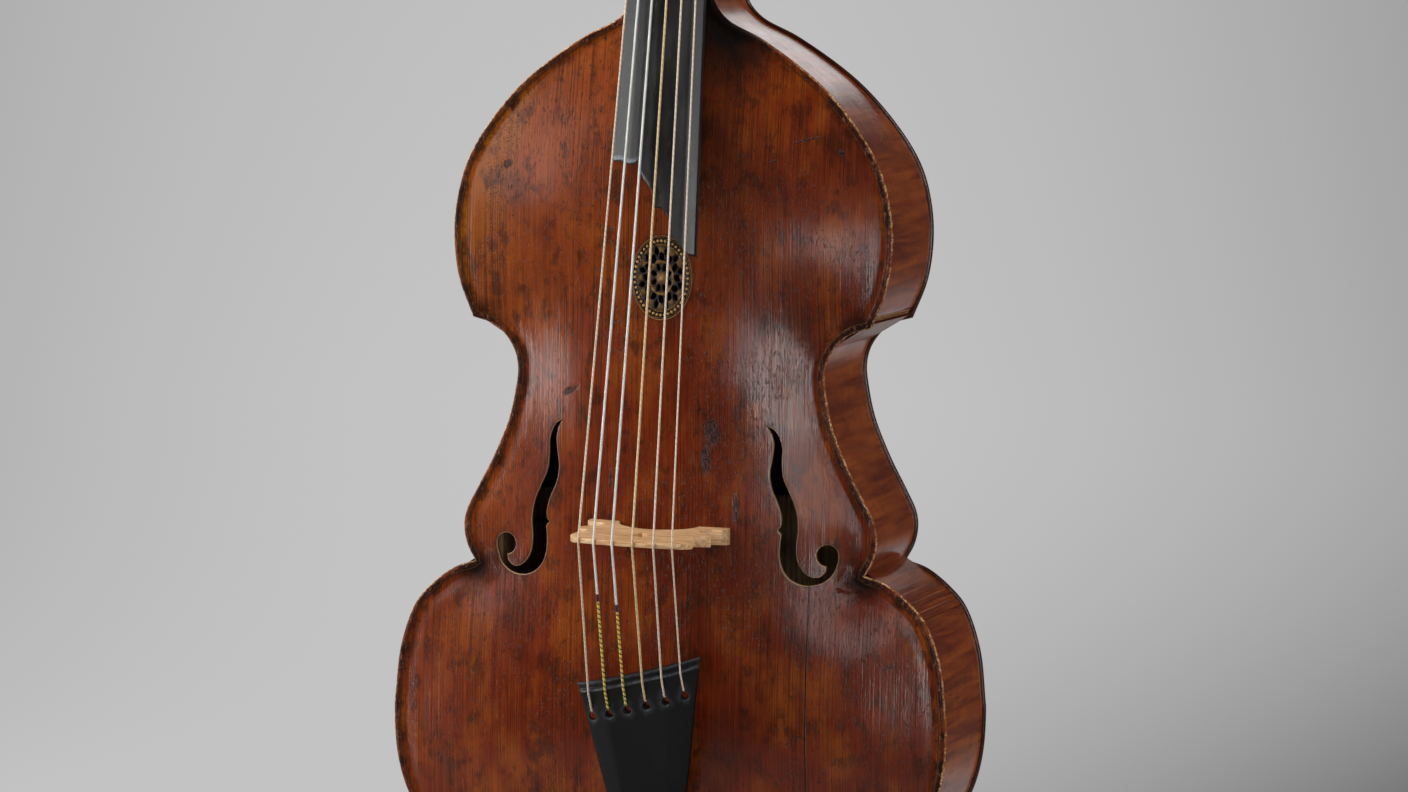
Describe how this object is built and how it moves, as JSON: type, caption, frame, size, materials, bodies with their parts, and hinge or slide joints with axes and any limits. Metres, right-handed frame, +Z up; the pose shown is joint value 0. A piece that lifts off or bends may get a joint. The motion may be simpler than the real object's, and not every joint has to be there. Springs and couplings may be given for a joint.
{
  "type": "double bass",
  "caption": "Bowed bass with an arched top, serpentine sound holes, flat sloping back, gut and wound strings, friction pegs and sliding endpin.",
  "frame": {"origin": "tip of the endpin on the floor, below the middle of the body's depth", "axes": "+Z up the instrument towards the scroll, -Y towards the player's bow (front), +X towards the treble side"},
  "size_m": [0.67, 0.3773, 1.9577],
  "materials": {
    "top_varnish": "old red-brown oil varnish over spruce, worn at the edges",
    "maple_varnish": "old red-brown glossy varnish over flamed maple",
    "inner_spruce": "raw planed spruce",
    "ebony": "satin polished ebony",
    "bridge_maple": "pale unvarnished maple",
    "gilded_rosette": "dark carved wood with worn gilding",
    "wound_string": "fine silver winding",
    "gut_string": "polished gut",
    "tail_cord": "dark twisted cord",
    "steel": "bright drawn steel",
    "brass": "satin brass",
    "rubber_foot": "matt rubber"
  },
  "bodies": {
    "body": {"top_plate": "top_varnish", "back_plate": "maple_varnish", "neck": "maple_varnish", "pegbox_scroll": "maple_varnish", "rib_upper_bass": "maple_varnish", "rib_waist_bass": "maple_varnish", "rib_lower_bass": "maple_varnish", "rib_upper_treble": "maple_varnish", "rib_waist_treble": "maple_varnish", "rib_lower_treble": "maple_varnish", "front_lining_upper_bass": "inner_spruce", "front_lining_waist_bass": "inner_spruce", "front_lining_lower_bass": "inner_spruce", "front_lining_upper_treble": "inner_spruce", "front_lining_waist_treble": "inner_spruce", "front_lining_lower_treble": "inner_spruce", "back_lining_upper_bass": "inner_spruce", "back_lining_lower_bass": "inner_spruce", "back_lining_upper_treble": "inner_spruce", "back_lining_lower_treble": "inner_spruce", "neck_block": "inner_spruce", "end_block": "inner_spruce", "corner_block_upper_bass": "inner_spruce", "corner_block_lower_bass": "inner_spruce", "corner_block_upper_treble": "inner_spruce", "corner_block_lower_treble": "inner_spruce", "back_brace_upper": "inner_spruce", "back_brace_sound_post": "inner_spruce", "back_brace_lower": "inner_spruce", "bass_bar": "inner_spruce", "sound_post": "inner_spruce", "saddle": "ebony", "fingerboard": "ebony", "nut": "ebony", "tailpiece": "ebony", "endpin_collar": "ebony", "tail_gut": "tail_cord", "rosette": "gilded_rosette", "bridge": "bridge_maple", "string_1": "wound_string", "string_2": "wound_string", "string_3": "wound_string", "string_4": "gut_string", "string_5": "gut_string", "string_6": "gut_string"},
    "tuner_1": {"peg_1": "ebony", "string_winding_1": "wound_string"},
    "tuner_6": {"peg_6": "ebony", "string_winding_6": "gut_string"},
    "tuner_2": {"peg_2": "ebony", "string_winding_2": "wound_string"},
    "tuner_5": {"peg_5": "ebony", "string_winding_5": "gut_string"},
    "tuner_3": {"peg_3": "ebony", "string_winding_3": "wound_string"},
    "tuner_4": {"peg_4": "ebony", "string_winding_4": "gut_string"},
    "endpin": {"endpin_rod": "steel", "endpin_foot": "rubber_foot"},
    "thumbscrew": {"endpin_thumbscrew": "brass"}
  },
  "joints": [
    {"name": "peg_1_turn", "type": "hinge", "parent": "body", "child": "tuner_1", "pos_m": [0, -0.02232, 1.67812], "axis": [-1, 0, 0], "continuous": true},
    {"name": "peg_6_turn", "type": "hinge", "parent": "body", "child": "tuner_6", "pos_m": [0, -0.01666, 1.71167], "axis": [1, 0, 0], "continuous": true},
    {"name": "peg_2_turn", "type": "hinge", "parent": "body", "child": "tuner_2", "pos_m": [0, -0.01101, 1.74522], "axis": [-1, 0, 0], "continuous": true},
    {"name": "peg_5_turn", "type": "hinge", "parent": "body", "child": "tuner_5", "pos_m": [0, -0.00536, 1.77876], "axis": [1, 0, 0], "continuous": true},
    {"name": "peg_3_turn", "type": "hinge", "parent": "body", "child": "tuner_3", "pos_m": [0, 0.00029, 1.81231], "axis": [-1, 0, 0], "continuous": true},
    {"name": "peg_4_turn", "type": "hinge", "parent": "body", "child": "tuner_4", "pos_m": [0, 0.00595, 1.84586], "axis": [1, 0, 0], "continuous": true},
    {"name": "endpin_slide", "type": "slide", "parent": "body", "child": "endpin", "axis": [0, 0, 1], "range_m": [-0.15, 0.075]},
    {"name": "thumbscrew_turn", "type": "hinge", "parent": "body", "child": "thumbscrew", "pos_m": [0, 0, 0.129], "axis": [1, 0, 0], "range_deg": [-360, 0]}
  ]
}
